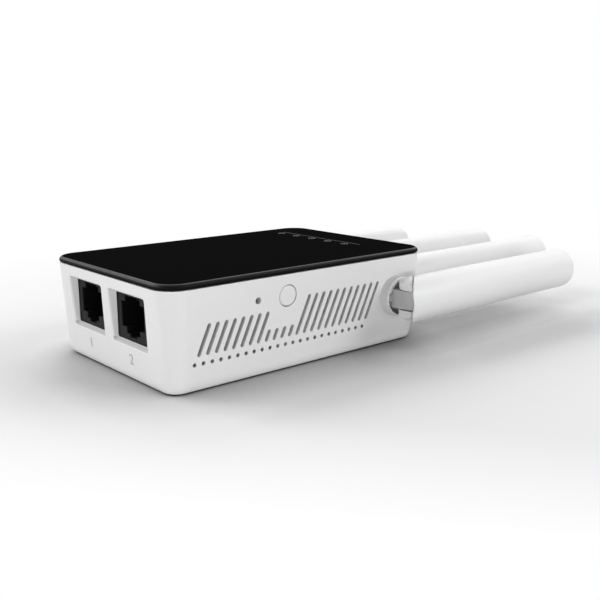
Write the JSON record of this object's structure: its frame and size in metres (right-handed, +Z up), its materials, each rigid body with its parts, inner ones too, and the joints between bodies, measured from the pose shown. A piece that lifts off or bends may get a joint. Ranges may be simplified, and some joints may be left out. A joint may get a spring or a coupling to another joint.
{
  "type": "wifi range extender",
  "caption": "Plug-in wifi range extender: drafted white box under a gloss black lid, network sockets, slanted vents, folding mains plug and tube antennas that swivel and fold.",
  "frame": {"origin": "centre of the flat underside of the box", "axes": "+Z up through the lid, +Y along the antennas, +X towards the side with the button"},
  "size_m": [0.0926, 0.1872, 0.0295],
  "materials": {
    "white_shell": "fine satin moulding",
    "white_hinge": "satin moulding",
    "gloss_lid": "piano black",
    "socket": "satin black",
    "contact": "gold plated",
    "brass": "bright brass",
    "steel": "plain",
    "board": "solder mask",
    "chip": "moulded black",
    "ferrite": "sintered grey",
    "capacitor": "shrink sleeve",
    "lamp": "diffused",
    "lead": "jacket"
  },
  "bodies": {
    "housing": {"main_housing": "white_shell", "top_cover": "gloss_lid", "circuit_board": "board", "lamp_baffle": "white_shell", "shield_can": "steel", "wifi_chip": "chip", "network_transformer": "chip", "power_transformer": "ferrite", "capacitor_1": "capacitor", "capacitor_2": "capacitor", "network_socket_1": "socket", "network_socket_2": "socket", "socket_contacts_1": "contact", "socket_contacts_2": "contact", "button_switch": "chip", "reset_switch": "chip", "mains_contact_1": "brass", "mains_contact_2": "brass", "status_lamp_1": "lamp", "status_lamp_2": "lamp", "status_lamp_3": "lamp", "status_lamp_4": "lamp", "status_lamp_5": "lamp", "lid_screw_1": "steel", "lid_screw_2": "steel", "lid_screw_3": "steel", "lid_screw_4": "steel", "right_outer_lead": "lead", "left_outer_lead": "lead", "right_inner_lead": "lead", "left_inner_lead": "lead"},
    "button": {"push_button": "white_shell", "button_plunger": "steel"},
    "reset": {"reset_plunger": "steel"},
    "mains_plug": {"plug_carrier": "white_shell", "plug_blade_1": "brass", "plug_blade_2": "brass"},
    "right_outer_swivel": {"right_outer_knuckle": "white_hinge"},
    "right_outer_antenna": {"right_outer_fork": "white_hinge", "right_outer_sleeve": "white_shell", "right_outer_radiator": "board", "right_outer_hinge_pin": "steel"},
    "left_outer_swivel": {"left_outer_knuckle": "white_hinge"},
    "left_outer_antenna": {"left_outer_fork": "white_hinge", "left_outer_sleeve": "white_shell", "left_outer_radiator": "board", "left_outer_hinge_pin": "steel"},
    "right_inner_swivel": {"right_inner_knuckle": "white_hinge"},
    "right_inner_antenna": {"right_inner_fork": "white_hinge", "right_inner_sleeve": "white_shell", "right_inner_radiator": "board", "right_inner_hinge_pin": "steel"},
    "left_inner_swivel": {"left_inner_knuckle": "white_hinge"},
    "left_inner_antenna": {"left_inner_fork": "white_hinge", "left_inner_sleeve": "white_shell", "left_inner_radiator": "board", "left_inner_hinge_pin": "steel"}
  },
  "joints": [
    {"name": "button_press", "type": "slide", "parent": "housing", "child": "button", "axis": [-1, 0, 0], "range_m": [0, 0.0005], "stiffness_N_per_m": 400, "springref_m": -0.0005},
    {"name": "reset_press", "type": "slide", "parent": "housing", "child": "reset", "axis": [-1, 0, 0], "range_m": [0, 0.00025], "stiffness_N_per_m": 400, "springref_m": -0.0005},
    {"name": "plug_fold", "type": "hinge", "parent": "housing", "child": "mains_plug", "pos_m": [0, 0.01, 0.0044], "axis": [-1, 0, 0], "range_deg": [0, 90]},
    {"name": "right_outer_turn", "type": "hinge", "parent": "housing", "child": "right_outer_swivel", "pos_m": [0.03939, 0.0342, 0.0158], "axis": [1, 0, 0], "range_deg": [0, 180]},
    {"name": "right_outer_fold", "type": "hinge", "parent": "right_outer_swivel", "child": "right_outer_antenna", "pos_m": [0.03939, 0.0342, 0.0158], "axis": [0, 0, -1], "range_deg": [0, 90]},
    {"name": "left_outer_turn", "type": "hinge", "parent": "housing", "child": "left_outer_swivel", "pos_m": [-0.03939, 0.0342, 0.0158], "axis": [1, 0, 0], "range_deg": [0, 180]},
    {"name": "left_outer_fold", "type": "hinge", "parent": "left_outer_swivel", "child": "left_outer_antenna", "pos_m": [-0.03939, 0.0342, 0.0158], "axis": [0, 0, 1], "range_deg": [0, 90]},
    {"name": "right_inner_turn", "type": "hinge", "parent": "housing", "child": "right_inner_swivel", "pos_m": [0.0133, 0.05709, 0.0158], "axis": [0, 1, 0], "range_deg": [-45, 135]},
    {"name": "right_inner_fold", "type": "hinge", "parent": "right_inner_swivel", "child": "right_inner_antenna", "pos_m": [0.0133, 0.05709, 0.0158], "axis": [0.7071, 0, 0.7071], "range_deg": [0, 90]},
    {"name": "left_inner_turn", "type": "hinge", "parent": "housing", "child": "left_inner_swivel", "pos_m": [-0.0133, 0.05709, 0.0158], "axis": [0, -1, 0], "range_deg": [-45, 135]},
    {"name": "left_inner_fold", "type": "hinge", "parent": "left_inner_swivel", "child": "left_inner_antenna", "pos_m": [-0.0133, 0.05709, 0.0158], "axis": [0.7071, 0, -0.7071], "range_deg": [0, 90]}
  ]
}
